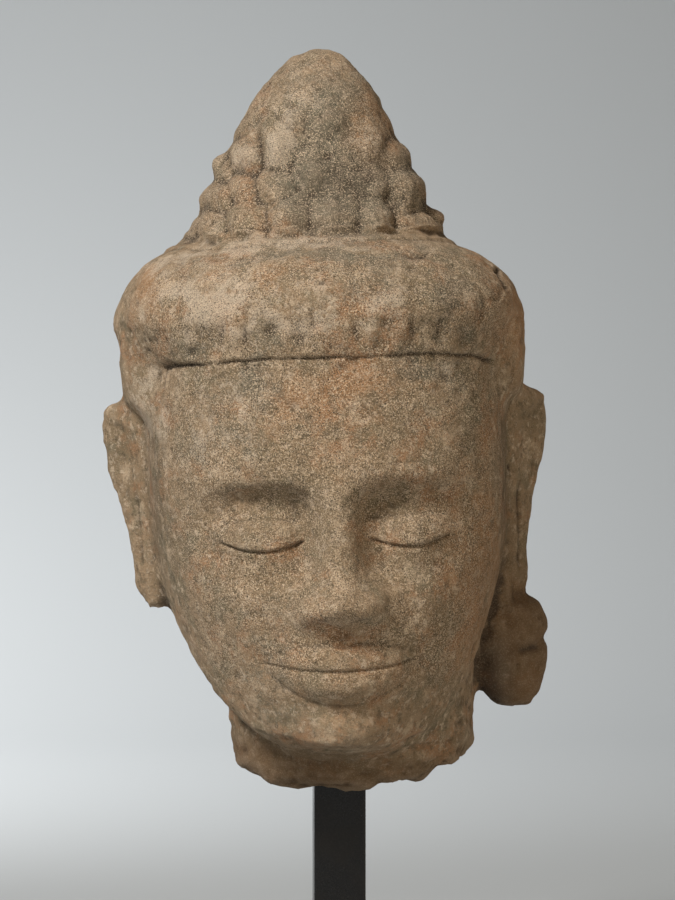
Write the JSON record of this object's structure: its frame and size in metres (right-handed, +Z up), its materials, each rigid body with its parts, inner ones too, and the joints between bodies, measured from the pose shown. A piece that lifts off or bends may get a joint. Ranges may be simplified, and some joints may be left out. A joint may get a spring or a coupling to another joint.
{
  "type": "sandstone deity head on a stand",
  "caption": "Worn sandstone deity head with a conical topknot of curls, a roll of hair and long ears, broken at the neck, on a square steel post and foot plate.",
  "frame": {"origin": "middle of the foot plate's underside", "axes": "+Z up, the face looks along -Y, +X at the viewer's right"},
  "size_m": [0.2222, 0.2285, 0.5019],
  "materials": {
    "sandstone": "worn, fine-grained, matte",
    "black_steel": "blackened, satin"
  },
  "bodies": {
    "root": {"stone_head": "sandstone", "steel_post": "black_steel", "foot_plate": "black_steel"}
  },
  "joints": []
}
